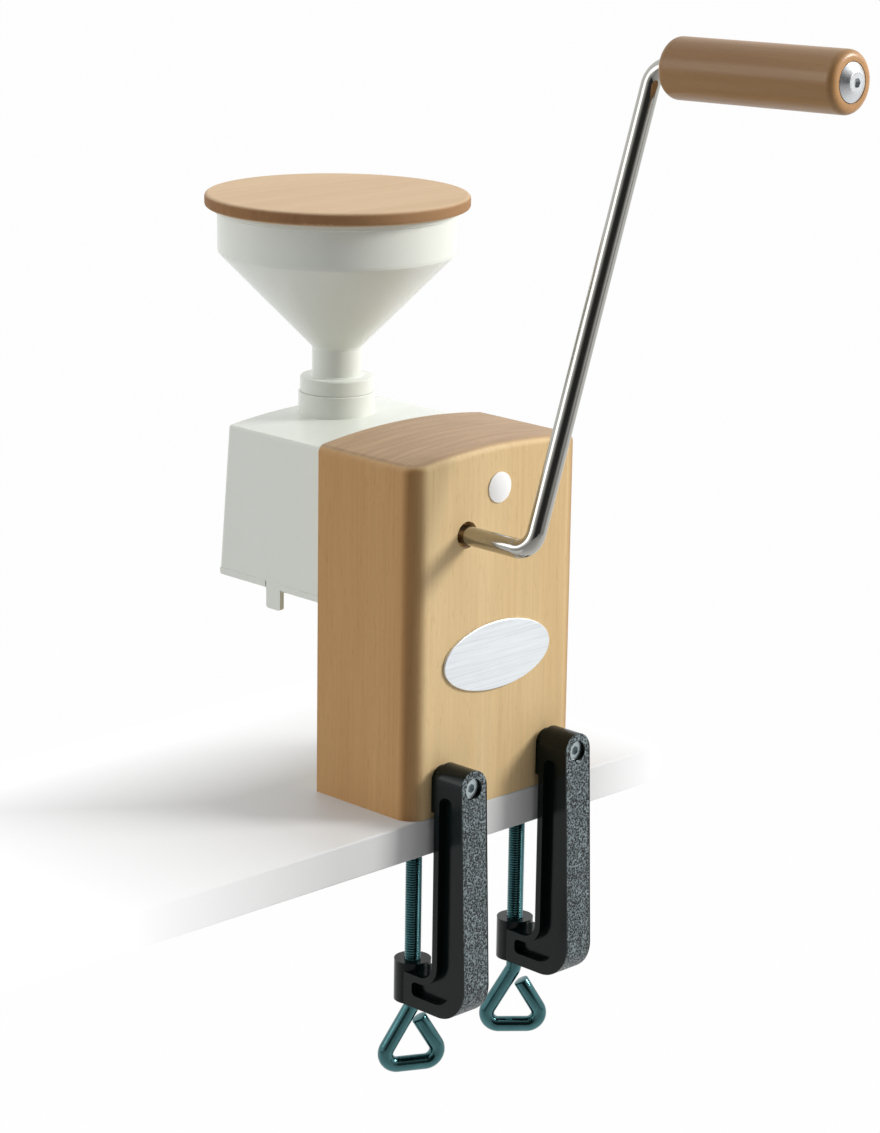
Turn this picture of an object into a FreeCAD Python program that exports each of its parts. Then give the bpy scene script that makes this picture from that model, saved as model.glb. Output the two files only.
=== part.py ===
import math
import os

import FreeCAD
import Part

from FreeCAD import Vector

os.makedirs("parts", exist_ok=True)

# Hand crank grain flaker, in millimetres. +Z is up, X runs along the front face,
# Y runs to the back, and the origin is the centre of the block's bottom face.

# Fits: clearance on the radius, and between faces
RUN_CLEAR = 0.05
SEAT_CLEAR = 0.02
SEAT_GAP = 0.05
FACE_CLEAR = 0.2

# Wood block
BLOCK_W = 110.0
BLOCK_D = 64.0
BLOCK_SIDE_H = 169.0
BLOCK_ARCH_H = 4.2
BLOCK_CORNER_R = 9.4
BLOCK_SHOULDER_R = 4.0
FRONT_Y = -BLOCK_D / 2.0
BACK_Y = BLOCK_D / 2.0
BLOCK_CROWN_H = BLOCK_SIDE_H + BLOCK_ARCH_H
ARCH_R = BLOCK_W ** 2 / (8.0 * BLOCK_ARCH_H)

# Rollers and shafts
AXIS_DROP = 40.4
AXIS_Z = BLOCK_CROWN_H - AXIS_DROP
SHAFT_R = 4.5
ROLLER_X = 20.7
ROLLER_GAP = 0.5
ROLLER_R = ROLLER_X - ROLLER_GAP / 2.0
ROLLER_EDGE = 0.6
GROOVES = 24
GROOVE_R = 0.8
GROOVE_OUT = 0.35

# Crank
CRANK_LEAN = math.radians(19.06)
CRANK_THROW = 226.0
ARM_OUT = 41.0
ARM_Y = FRONT_Y - ARM_OUT
BEND_R = 9.0
PIN_TILT = 1.7
BORE_R = 6.4
BUSH_L = 14.0
BUSH_INSET = 4.0

# Grip
GRIP_R = 14.2
GRIP_START = 12.5
GRIP_L = 100.0
GRIP_EDGE = 3.6
GRIP_END = GRIP_START + GRIP_L
WASHER_R = 8.8
WASHER_RECESS = 0.9
WASHER_SEAT = 0.15
WASHER_RIM = 0.7
WASHER_H = 3.3
WASHER_TOP_R = 4.9
WASHER_EDGE = 0.6
GRIP_SCREW_R = 2.5
GRIP_SCREW_L = 13.0
GRIP_SCREW_HEAD_R = 4.2
GRIP_SCREW_HEX_R = 2.3
GRIP_SCREW_HEX_H = 1.4

# Housing
HOUSE_STEP = 3.5
HOUSE_SIDE_STEP = 5.5
HOUSE_H = 73.9
HOUSE_DEPTH = 69.3
HOUSE_DRAFT = 3.2
HOUSE_WALL = 2.5
HOUSE_EDGE_R = 1.6
HOUSE_TOP_R = 1.2
HOUSE_HALF_W = BLOCK_W / 2.0 - HOUSE_SIDE_STEP
HOUSE_FRONT_Y = BACK_Y + SEAT_GAP
HOUSE_BACK_Y = BACK_Y + HOUSE_DEPTH
HOUSE_CROWN = BLOCK_CROWN_H - HOUSE_STEP
HOUSE_BASE_Z = HOUSE_CROWN - HOUSE_H
RIM_T = 3.6
RIM_OUT = 0.3
RIM_EDGE = 1.4
TONGUE_W = 9.8
TONGUE_SET = 28.9
TONGUE_DROP = 13.2
TONGUE_Y = BACK_Y + TONGUE_SET
OUTLET_HALF_W = 33.0
OUTLET_FRONT = 12.0
OUTLET_BACK = 9.3

# Hopper, its collar and its lid
HOPPER_BACK = 22.6
HOPPER_Y = HOUSE_BACK_Y - HOPPER_BACK
COLLAR_H = 10.5
COLLAR_R = 18.5
COLLAR_BORE_R = 15.0
COLLAR_TOP = HOUSE_CROWN + COLLAR_H
THROAT_R = 9.4
THROAT_WALL = 2.4
THROAT_DROP = 12.7
SPIGOT_L = 10.0
RING_R = 17.7
RING_H = 7.4
RING_TOP = COLLAR_TOP + RING_H
NECK_R = 11.9
NECK_H = 14.9
HOPPER_R = 57.45
HOPPER_WALL = 2.2
CONE_H = 45.9
BOWL_H = 21.3
HOPPER_LIP = 1.3
CONE_LOW = RING_TOP + NECK_H
CONE_TOP = CONE_LOW + CONE_H
LID_Z = CONE_TOP + BOWL_H
LID_R = 63.5
LID_T = 6.4
LID_EDGE = 1.8
LID_STEP_T = 4.0
LID_STEP_W = 9.0
LID_SCREW_R = 1.4
LID_SCREW_HEAD_R = 2.8
LID_SCREW_HEAD_H = 1.2
LID_SCREW_GRIP = 2.6
LID_SCREW_IN = 5.0

# Bearing plates, tie bars and gears
PLATE_T = 3.0
PLATE_SIDE_GAP = 3.0
PLATE_RISE = 29.2
PLATE_DROP = 26.8
PLATE_CORNER_R = 6.0
PLATE_BUSH_R = 7.0
BUSH_FLANGE = 0.8
REAR_SPACE = 9.3
PLATE_HALF_W = HOUSE_HALF_W - HOUSE_WALL - PLATE_SIDE_GAP
PLATE_LOW = AXIS_Z - PLATE_DROP
PLATE_HIGH = AXIS_Z + PLATE_RISE
FRONT_PLATE_Y = BACK_Y + SEAT_GAP
REAR_PLATE_Y = HOUSE_BACK_Y - REAR_SPACE
BAR_EDGE = 5.2
BAR_R = 3.0
BAR_TAIL_R = 2.0
BAR_X = PLATE_HALF_W - BAR_EDGE
BAR_HEIGHTS = (PLATE_LOW + BAR_EDGE, PLATE_HIGH - BAR_EDGE)
PLATE_SCREW_R = 1.5
PLATE_SCREW_L = 9.0
PLATE_SCREW_HEAD_R = 2.9
PLATE_SCREW_HEAD_H = 1.8
GEAR_SPACE = 6.75
GEAR_T = 7.0
GEAR_TIP = 1.75
GEAR_ROOT = 2.35
GEAR_HUB_R = 8.0
GEAR_HUB_T = 1.0
TEETH = 18
GEAR_Y = FRONT_PLATE_Y + PLATE_T + GEAR_SPACE
ROLLER_SPACE = 1.6
ROLLER_Y = GEAR_Y + GEAR_T + ROLLER_SPACE
ROLLER_END = REAR_PLATE_Y - ROLLER_SPACE
SHAFT_TAIL = 1.6
SHAFT_END_Y = REAR_PLATE_Y + PLATE_T + SHAFT_TAIL
CROSS_PIN_R = 1.5
CROSS_PIN_IN = 5.6
CROSS_PIN_SHORT = 1.3
PIN_HOLES = (ROLLER_Y + CROSS_PIN_IN, GEAR_Y + GEAR_T / 2.0)
CLIP_T = 0.7
CLIP_OUT = 2.2
GROOVE_DEPTH = 0.5

# Bolt and plug that fix the housing
BOLT_RISE = 19.4
BOLT_Z = AXIS_Z + BOLT_RISE
BOLT_R = 3.0
BOLT_SLACK = 0.3
BOLT_SINK = 16.0
BOLT_HEAD_R = 5.0
BOLT_HEAD_H = 6.0
BOLT_HEX_R = 2.9
BOLT_TAIL = 2.45
NUT_FLATS = 10.0
NUT_T = 4.5
PLUG_R = 7.3
PLUG_CROWN = 1.7
PLUG_DOME_R = 24.0
PLUG_DEPTH = 6.0
PLUG_WALL = 2.0

# Name plate
NAME_Z = 71.5
NAME_A = 35.2
NAME_B = 16.5
NAME_T = 1.15
NAME_EDGE = 0.4

# Clamps
CLAMP_EDGE = 19.9
CLAMP_X = BLOCK_W / 2.0 - CLAMP_EDGE
CLAMP_W = 17.0
CLAMP_STAND = 4.0
CLAMP_DEPTH = 17.0
CLAMP_SPLAY = 4.1
CLAMP_TOP = 26.8
CLAMP_LOW = -97.0
CLAMP_CORNER_R = 17.0
FOOT_TOP = -80.5
FOOT_R = 8.0
WEB_W = 9.0
RIM_W = 3.3
SOLE_H = 6.0
POCKET_W = 9.1
POCKET_TOP = 13.0
POCKET_R = 4.2
POCKET_CORNER_R = 10.5
POCKET_END_R = 2.5
POCKET_END = 8.1
RIGHT_LIFT = 2.8
NECK_HALF_W = 6.5
NECK_LOW = 3.0
BOSS_SET = 17.5
BOSS_Y = FRONT_Y + BOSS_SET
BOSS_R = 8.9
BOSS_TOP = -76.5
SCREW_R = 4.0
SCREW_CLEAR = 0.06
CLAMP_IN_Y = FRONT_Y - CLAMP_STAND
CLAMP_OUT_Y = CLAMP_IN_Y - CLAMP_DEPTH
CLAMP_TOE_Y = CLAMP_OUT_Y - CLAMP_SPLAY

# Clamp fixing screws
FIX_Z = 18.0
FIX_R = 3.0
FIX_DEPTH = 25.0
FIX_SINK = 5.2
FIX_SINK_R = 5.1
FIX_HEAD_R = 4.7
FIX_HEAD_H = 3.4
FIX_HEX_R = 2.3

# Clamp pads and screws
PAD_TOP = -18.4
PAD_R = 4.7
PAD_T = 6.0
PAD_EDGE = 0.5
PAD_CAP = 2.2
TIP_R = 2.6
END_CLEAR = 0.1
LOOP_WIRE_R = 3.8
LOOP_BEND_R = 6.0
LOOP_HALF_W = 17.4
LOOP_START = 3.7
LOOP_DROP = 33.7
LOOP_TAIL_X = 3.6
LOOP_TAIL_DROP = 10.6


def save(name, shape):
    shape.exportStep("parts/" + name + ".step")


def rod(radius, start, end):
    axis = end.sub(start)
    return Part.makeCylinder(radius, axis.Length, start, axis)


def cyl_y(radius, y0, y1, x=0.0, z=0.0):
    return Part.makeCylinder(radius, y1 - y0, Vector(x, y0, z), Vector(0, 1, 0))


def cyl_z(radius, z0, z1, x=0.0, y=0.0):
    return Part.makeCylinder(radius, z1 - z0, Vector(x, y, z0), Vector(0, 0, 1))


def box(x0, x1, y0, y1, z0, z1):
    return Part.makeBox(x1 - x0, y1 - y0, z1 - z0, Vector(x0, y0, z0))


def prism(points, direction):
    wire = Part.makePolygon(points + [points[0]])
    return Part.Face(wire).extrude(direction)


def hexagon(radius, x, y, z):
    """Six corners round an axis along Y."""
    points = []
    for i in range(6):
        turn = math.radians(60 * i + 30)
        points.append(Vector(x + radius * math.cos(turn), y, z + radius * math.sin(turn)))
    return points


def edges_where(shape, test):
    return [edge for edge in shape.Edges if test(edge)]


def is_ring(edge):
    return len(edge.Vertexes) == 1


def centre(edge):
    return edge.CenterOfMass


def span(edge):
    return edge.Vertexes[-1].Point.sub(edge.Vertexes[0].Point)


def is_along(edge, axis):
    return abs(abs(span(edge).dot(axis)) - span(edge).Length) < 1e-6 and span(edge).Length > 1.0


def rises(edge):
    return abs(span(edge).z) > 0.9 * edge.Length


def line(start, end):
    return Part.LineSegment(start, end).toShape()


def corner_arc(start, end, middle, radius):
    """Quarter arc in the YZ plane about a middle, from start to end."""
    out = start.add(end).multiply(0.5).sub(middle)
    return Part.Arc(start, middle.add(out.normalize().multiply(radius)), end).toShape()


def lathe(points, x, y):
    """Turn a closed profile of (radius, z) points about a vertical axis."""
    profile = [Vector(x + r, y, z) for r, z in points]
    face = Part.Face(Part.makePolygon(profile + [profile[0]]))
    return face.revolve(Vector(x, y, 0), Vector(0, 0, 1), 360)


def bent_rod(points, bend, radius):
    """Sweep a round bar along straight runs joined by arcs."""
    edges = []
    start = points[0]
    for i in range(1, len(points) - 1):
        into = start.sub(points[i]).normalize()
        out = points[i + 1].sub(points[i]).normalize()
        half = into.getAngle(out) / 2.0
        reach = bend / math.tan(half)
        first = points[i].add(Vector(into).multiply(reach))
        last = points[i].add(Vector(out).multiply(reach))
        inner = into.add(out).normalize()
        depth = bend / math.sin(half) - bend
        middle = points[i].add(inner.multiply(depth))
        edges.append(line(start, first))
        edges.append(Part.Arc(first, middle, last).toShape())
        start = last
    edges.append(line(start, points[-1]))
    spine = Part.Wire(edges)
    run = points[1].sub(points[0])
    section = Part.Wire(Part.makeCircle(radius, points[0], run))
    return spine.makePipeShell([section], True, False)


def arch_top(half_w, y0, y1, z0, crown):
    """A slab with an arched top across X, from z0 up to the crown."""
    side = crown - half_w ** 2 / (2.0 * ARCH_R)
    arc = Part.Arc(Vector(half_w, y0, side), Vector(0, y0, crown), Vector(-half_w, y0, side))
    edges = [line(Vector(-half_w, y0, z0), Vector(half_w, y0, z0))]
    edges.append(line(Vector(half_w, y0, z0), Vector(half_w, y0, side)))
    edges.append(arc.toShape())
    edges.append(line(Vector(-half_w, y0, side), Vector(-half_w, y0, z0)))
    return Part.Face(Part.Wire(edges)).extrude(Vector(0, y1 - y0, 0))


# Where the crank pin leaves the arm
PIN_X = -ROLLER_X + CRANK_THROW * math.sin(CRANK_LEAN)
PIN_Z = AXIS_Z + CRANK_THROW * math.cos(CRANK_LEAN)
PIN_AT = Vector(PIN_X, ARM_Y, PIN_Z)
PIN_DIR = Vector(0, -math.cos(math.radians(PIN_TILT)), math.sin(math.radians(PIN_TILT)))


def pin_point(distance):
    """A point on the grip's axis, measured out from the crank arm."""
    return PIN_AT.add(Vector(PIN_DIR).multiply(distance))


def pin_cylinder(radius, near, far):
    return rod(radius, pin_point(near), pin_point(far))


def make_block():
    block = arch_top(BLOCK_W / 2.0, FRONT_Y, BACK_Y, 0.0, BLOCK_CROWN_H)
    front = edges_where(block, lambda e: rises(e) and centre(e).y < 0)
    block = block.makeFillet(BLOCK_CORNER_R, front)
    shoulder = edges_where(block, lambda e: is_along(e, Vector(0, 1, 0))
                           and centre(e).z > BLOCK_SIDE_H / 2.0)
    block = block.makeFillet(BLOCK_SHOULDER_R, shoulder)
    block = block.cut(cyl_y(BORE_R, FRONT_Y - 1, BACK_Y + 1, -ROLLER_X, AXIS_Z))
    block = block.cut(cyl_y(PLUG_R, FRONT_Y - 1, FRONT_Y + BOLT_SINK, 0, BOLT_Z))
    block = block.cut(cyl_y(BOLT_R + BOLT_SLACK, FRONT_Y - 1, BACK_Y + 1, 0, BOLT_Z))
    for side, lift in ((-1, 0.0), (1, RIGHT_LIFT)):
        block = block.cut(cyl_y(FIX_R + SEAT_CLEAR, FRONT_Y - 1, FRONT_Y + FIX_DEPTH + 1,
                                side * CLAMP_X, FIX_Z + lift))
    return block


def make_name_plate():
    flat = Part.Ellipse(Vector(NAME_A, 0, 0), Vector(0, NAME_B, 0), Vector(0, 0, 0))
    face = Part.Face(Part.Wire(flat.toShape()))
    plate = face.extrude(Vector(0, 0, NAME_T))
    rim = edges_where(plate, lambda e: centre(e).z > NAME_T / 2.0 and is_ring(e))
    plate = plate.makeFillet(NAME_EDGE, rim)
    plate.rotate(Vector(0, 0, 0), Vector(1, 0, 0), 90)
    plate.translate(Vector(0, FRONT_Y - SEAT_GAP, NAME_Z))
    return plate


def make_front_plug():
    dome = Part.makeSphere(PLUG_DOME_R, Vector(0, FRONT_Y - PLUG_CROWN + PLUG_DOME_R, BOLT_Z))
    body = cyl_y(PLUG_R - SEAT_CLEAR, FRONT_Y - PLUG_CROWN - 1, FRONT_Y + PLUG_DEPTH, 0, BOLT_Z)
    plug = body.common(dome)
    return plug.cut(cyl_y(PLUG_R - PLUG_WALL, FRONT_Y + PLUG_WALL, FRONT_Y + PLUG_DEPTH + 1,
                          0, BOLT_Z))


def make_fixing_bolt():
    head_y = FRONT_Y + BOLT_SINK
    end_y = FRONT_PLATE_Y + PLATE_T + NUT_T + BOLT_TAIL
    head = cyl_y(BOLT_HEAD_R, head_y - BOLT_HEAD_H, head_y, 0, BOLT_Z)
    shank = cyl_y(BOLT_R, head_y - 0.5, end_y, 0, BOLT_Z)
    bolt = head.fuse(shank).removeSplitter()
    socket = hexagon(BOLT_HEX_R, 0, head_y - BOLT_HEAD_H - 1, BOLT_Z)
    return bolt.cut(prism(socket, Vector(0, BOLT_HEAD_H / 2.0 + 1, 0)))


def make_nut():
    y0 = FRONT_PLATE_Y + PLATE_T
    nut = prism(hexagon(NUT_FLATS / math.sqrt(3.0), 0, y0, BOLT_Z), Vector(0, NUT_T, 0))
    return nut.cut(cyl_y(BOLT_R + SEAT_CLEAR, y0 - 1, y0 + NUT_T + 1, 0, BOLT_Z))


def make_bush(y0, y1, x, outer):
    bush = cyl_y(outer, y0, y1, x, AXIS_Z)
    return bush.cut(cyl_y(SHAFT_R + RUN_CLEAR, y0 - 1, y1 + 1, x, AXIS_Z))


def make_bearing_plate(y0, rear):
    plate = box(-PLATE_HALF_W, PLATE_HALF_W, y0, y0 + PLATE_T, PLATE_LOW, PLATE_HIGH)
    corners = edges_where(plate, lambda e: is_along(e, Vector(0, 1, 0)))
    plate = plate.makeFillet(PLATE_CORNER_R, corners)
    for side in (-1, 1):
        hole = PLATE_BUSH_R + SEAT_CLEAR
        plate = plate.cut(cyl_y(hole, y0 - 1, y0 + PLATE_T + 1, side * ROLLER_X, AXIS_Z))
        for z in BAR_HEIGHTS:
            plate = plate.cut(cyl_y(BAR_TAIL_R + SEAT_GAP, y0 - 1, y0 + PLATE_T + 1,
                                    side * BAR_X, z))
    if not rear:
        plate = plate.cut(cyl_y(BOLT_R + FACE_CLEAR, y0 - 1, y0 + PLATE_T + 1, 0, BOLT_Z))
    return plate


def make_plate_bushes():
    bushes = []
    for x in (-ROLLER_X, ROLLER_X):
        bushes.append(make_bush(REAR_PLATE_Y - BUSH_FLANGE, REAR_PLATE_Y + PLATE_T, x,
                                PLATE_BUSH_R))
        bushes.append(make_bush(FRONT_PLATE_Y, FRONT_PLATE_Y + PLATE_T + BUSH_FLANGE, x,
                                PLATE_BUSH_R))
    return Part.makeCompound(bushes)


def make_tie_bars():
    bars = []
    front = FRONT_PLATE_Y + PLATE_T
    for x in (-BAR_X, BAR_X):
        for z in BAR_HEIGHTS:
            bar = cyl_y(BAR_R, front, REAR_PLATE_Y, x, z)
            tail = cyl_y(BAR_TAIL_R, FRONT_PLATE_Y + 0.1, front + 0.5, x, z)
            bar = bar.fuse(tail).removeSplitter()
            depth = PLATE_SCREW_L - PLATE_T + 2.0
            bars.append(bar.cut(cyl_y(PLATE_SCREW_R + SEAT_GAP, REAR_PLATE_Y - depth,
                                      REAR_PLATE_Y + 1, x, z)))
    return Part.makeCompound(bars)


def make_plate_screws():
    screws = []
    top = REAR_PLATE_Y + PLATE_T
    for x in (-BAR_X, BAR_X):
        for z in BAR_HEIGHTS:
            head = cyl_y(PLATE_SCREW_HEAD_R, top, top + PLATE_SCREW_HEAD_H, x, z)
            shank = cyl_y(PLATE_SCREW_R, top - PLATE_SCREW_L, top + 0.5, x, z)
            slot = box(x - PLATE_SCREW_HEAD_R, x + PLATE_SCREW_HEAD_R,
                       top + PLATE_SCREW_HEAD_H / 2.0, top + PLATE_SCREW_HEAD_H + 1,
                       z - 0.3, z + 0.3)
            screws.append(head.fuse(shank).removeSplitter().cut(slot))
    return Part.makeCompound(screws)


def drafted(inset, front_y, z0, crown):
    """The housing's drafted body, inset all round by the wall thickness."""
    low = HOUSE_DRAFT * (HOUSE_CROWN - z0) / HOUSE_H
    rings = []
    for grow, z in ((low, z0), (0.0, HOUSE_CROWN)):
        half = HOUSE_HALF_W + grow - inset
        back = HOUSE_BACK_Y + grow - inset
        points = [Vector(-half, front_y, z), Vector(half, front_y, z), Vector(half, back, z)]
        points.append(Vector(-half, back, z))
        rings.append(Part.makePolygon(points + [points[0]]))
    body = Part.makeLoft(rings, True, True)
    wide = HOUSE_HALF_W + 2.0 * HOUSE_DRAFT
    top = arch_top(wide, front_y - 5, HOUSE_BACK_Y + 4.0 * HOUSE_DRAFT, z0 - 5, crown)
    return body.common(top)


def make_housing_shell():
    outer = drafted(0.0, HOUSE_FRONT_Y, HOUSE_BASE_Z, HOUSE_CROWN)
    upright = edges_where(outer, lambda e: rises(e) and centre(e).y > HOUSE_BACK_Y - 1)
    outer = outer.makeFillet(HOUSE_EDGE_R, upright)
    eave = HOUSE_CROWN - BLOCK_ARCH_H - 2.0
    rim = edges_where(outer, lambda e: centre(e).z > eave and centre(e).y > BACK_Y + 2)
    outer = outer.makeFillet(HOUSE_TOP_R, rim)
    inner = drafted(HOUSE_WALL, BACK_Y - 5, HOUSE_BASE_Z - 5, HOUSE_CROWN - HOUSE_WALL)
    shell = outer.cut(inner)
    collar = cyl_z(COLLAR_R, HOUSE_CROWN - 3.0, COLLAR_TOP, 0, HOPPER_Y)
    collar = collar.makeFillet(0.6, edges_where(collar, lambda e: centre(e).z > COLLAR_TOP - 0.1))
    throat = cyl_z(THROAT_R + THROAT_WALL, HOUSE_CROWN - THROAT_DROP, HOUSE_CROWN - 1,
                   0, HOPPER_Y)
    shell = shell.fuse([collar, throat])
    shell = shell.cut(cyl_z(COLLAR_BORE_R, HOUSE_CROWN - 0.2, COLLAR_TOP + 1, 0, HOPPER_Y))
    shell = shell.cut(cyl_z(THROAT_R, HOUSE_CROWN - THROAT_DROP - 1, COLLAR_TOP + 1,
                            0, HOPPER_Y))
    side = HOUSE_HALF_W + HOUSE_DRAFT
    tip = HOUSE_BASE_Z - TONGUE_DROP
    tongue = box(-side, -side + HOUSE_WALL, TONGUE_Y, TONGUE_Y + TONGUE_W, tip, HOUSE_BASE_Z + 2)
    low = edges_where(tongue, lambda e: abs(centre(e).z - tip) < 0.1
                      and is_along(e, Vector(1, 0, 0)))
    tongue = tongue.makeFillet(1.5, low)
    return shell.fuse(tongue).removeSplitter()


def make_base_frame():
    top = HOUSE_BASE_Z - SEAT_CLEAR
    half = HOUSE_HALF_W + HOUSE_DRAFT + RIM_OUT
    back = HOUSE_BACK_Y + HOUSE_DRAFT + RIM_OUT
    frame = box(-half, half, HOUSE_FRONT_Y, back, top - RIM_T, top)
    corners = edges_where(frame, lambda e: rises(e) and centre(e).y > BACK_Y + 2)
    frame = frame.makeFillet(HOUSE_EDGE_R, corners)
    low = edges_where(frame, lambda e: centre(e).z < top - RIM_T + 0.01
                      and centre(e).y > BACK_Y + 1)
    frame = frame.makeFillet(RIM_EDGE, low)
    frame = frame.cut(box(-OUTLET_HALF_W, OUTLET_HALF_W, BACK_Y + OUTLET_FRONT,
                          HOUSE_BACK_Y - OUTLET_BACK, top - 20, top + 5))
    side = HOUSE_HALF_W + HOUSE_DRAFT
    notch = box(-side - 1, -side + HOUSE_WALL + RIM_OUT, TONGUE_Y - 0.4,
                TONGUE_Y + TONGUE_W + 0.4, top - 20, top + 5)
    return frame.cut(notch)


def cut_pin_holes(shape, x):
    for y in PIN_HOLES:
        hole = cyl_z(CROSS_PIN_R + SEAT_GAP, AXIS_Z - 2 * ROLLER_R, AXIS_Z + 2 * ROLLER_R, x, y)
        shape = shape.cut(hole)
    return shape


def make_gear(x, phase):
    step = 2 * math.pi / TEETH
    flank = ((ROLLER_X - GEAR_ROOT, 0.29), (ROLLER_X, 0.225), (ROLLER_X + GEAR_TIP, 0.115))
    points = []
    for i in range(TEETH):
        middle = phase + i * step
        for radius, half in flank:
            points.append((radius, middle - half * step))
        for radius, half in reversed(flank):
            points.append((radius, middle + half * step))
    ring = [Vector(x + r * math.cos(t), GEAR_Y, AXIS_Z + r * math.sin(t)) for r, t in points]
    gear = prism(ring, Vector(0, GEAR_T, 0))
    hub = cyl_y(GEAR_HUB_R, GEAR_Y - GEAR_HUB_T, GEAR_Y, x, AXIS_Z)
    gear = gear.fuse(hub).removeSplitter()
    gear = gear.cut(cyl_y(SHAFT_R + SEAT_CLEAR, GEAR_Y - 3, GEAR_Y + GEAR_T + 3, x, AXIS_Z))
    return cut_pin_holes(gear, x)


def make_roller(x):
    roller = cyl_y(ROLLER_R, ROLLER_Y, ROLLER_END, x, AXIS_Z)
    roller = roller.makeChamfer(ROLLER_EDGE, edges_where(roller, is_ring))
    roller = roller.cut(cyl_y(SHAFT_R + SEAT_CLEAR, ROLLER_Y - 1, ROLLER_END + 1, x, AXIS_Z))
    for i in range(GROOVES):
        turn = 2 * math.pi * i / GROOVES
        gx = x + (ROLLER_R + GROOVE_OUT) * math.cos(turn)
        gz = AXIS_Z + (ROLLER_R + GROOVE_OUT) * math.sin(turn)
        roller = roller.cut(cyl_y(GROOVE_R, ROLLER_Y - 1, ROLLER_END + 1, gx, gz))
    return cut_pin_holes(roller, x)


def make_cross_pins(x):
    pins = []
    for y, reach in zip(PIN_HOLES, (ROLLER_R, ROLLER_X - GEAR_ROOT)):
        half = reach - CROSS_PIN_SHORT
        pins.append(cyl_z(CROSS_PIN_R, AXIS_Z - half, AXIS_Z + half, x, y))
    return Part.makeCompound(pins)


def cut_clip_groove(shape, x):
    near = SHAFT_END_Y - CLIP_T - 0.5
    ring = cyl_y(SHAFT_R + 1, near, near + CLIP_T + 0.1, x, AXIS_Z)
    ring = ring.cut(cyl_y(SHAFT_R - GROOVE_DEPTH, near - 1, SHAFT_END_Y, x, AXIS_Z))
    return shape.cut(ring)


def make_clip(x):
    near = SHAFT_END_Y - CLIP_T - 0.45
    clip = cyl_y(SHAFT_R + CLIP_OUT, near, near + CLIP_T, x, AXIS_Z)
    clip = clip.cut(cyl_y(SHAFT_R - GROOVE_DEPTH + 0.05, near - 1, near + 2, x, AXIS_Z))
    return clip.cut(box(x - 2, x + 2, near - 1, near + 2, AXIS_Z, AXIS_Z + SHAFT_R + 5))


def make_crank_rod():
    path = [Vector(-ROLLER_X, SHAFT_END_Y, AXIS_Z), Vector(-ROLLER_X, ARM_Y, AXIS_Z), PIN_AT]
    path.append(pin_point(GRIP_END - WASHER_RECESS))
    bar = bent_rod(path, BEND_R, SHAFT_R)
    bar = cut_pin_holes(bar, -ROLLER_X)
    bar = cut_clip_groove(bar, -ROLLER_X)
    return bar.cut(pin_cylinder(GRIP_SCREW_R + SEAT_GAP, GRIP_END - GRIP_SCREW_L - 1, GRIP_END + 2))


def make_driven_axle():
    axle = cyl_y(SHAFT_R, FRONT_PLATE_Y + 0.3, SHAFT_END_Y, ROLLER_X, AXIS_Z)
    return cut_clip_groove(cut_pin_holes(axle, ROLLER_X), ROLLER_X)


def make_grip():
    grip = pin_cylinder(GRIP_R, GRIP_START, GRIP_END)
    grip = grip.makeFillet(GRIP_EDGE, edges_where(grip, is_ring))
    grip = grip.cut(pin_cylinder(SHAFT_R + RUN_CLEAR, GRIP_START - 5, GRIP_END + 5))
    return grip.cut(pin_cylinder(WASHER_R + 0.4, GRIP_END - WASHER_RECESS, GRIP_END + 5))


def pin_cone(low_r, high_r, near, far):
    return Part.makeCone(low_r, high_r, far - near, pin_point(near), PIN_DIR)


def make_grip_washer():
    """Coned washer with a countersink for the screw."""
    seat = GRIP_END - WASHER_RECESS + WASHER_SEAT
    top = seat + WASHER_H
    cone = pin_cone(WASHER_R, WASHER_TOP_R, seat + WASHER_RIM, top)
    washer = cone.fuse(pin_cylinder(WASHER_R, seat, seat + WASHER_RIM)).removeSplitter()
    crown = edges_where(washer, lambda e: is_ring(e)
                        and centre(e).distanceToPoint(pin_point(top)) < 0.1)
    washer = washer.makeFillet(WASHER_EDGE, crown)
    bore = GRIP_SCREW_R + 0.1
    sink = GRIP_SCREW_HEAD_R - GRIP_SCREW_R
    washer = washer.cut(pin_cylinder(bore, seat - 1, top + 1))
    return washer.cut(pin_cone(bore, bore + sink, top - sink, top))


def make_grip_screw():
    """Countersunk screw, flush with the washer's crown."""
    top = GRIP_END - WASHER_RECESS + WASHER_SEAT + WASHER_H
    sink = GRIP_SCREW_HEAD_R - GRIP_SCREW_R
    shank = pin_cylinder(GRIP_SCREW_R, GRIP_END - GRIP_SCREW_L, top - sink + 0.01)
    head = pin_cone(GRIP_SCREW_R, GRIP_SCREW_HEAD_R, top - sink, top)
    screw = head.fuse(shank).removeSplitter()
    points = []
    across = Vector(1, 0, 0)
    lift = PIN_DIR.cross(across)
    for i in range(6):
        turn = math.radians(60 * i)
        spot = pin_point(top - GRIP_SCREW_HEX_H)
        spot = spot.add(Vector(across).multiply(GRIP_SCREW_HEX_R * math.cos(turn)))
        points.append(spot.add(Vector(lift).multiply(GRIP_SCREW_HEX_R * math.sin(turn))))
    return screw.cut(prism(points, Vector(PIN_DIR).multiply(GRIP_SCREW_HEX_H + 1)))


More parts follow.
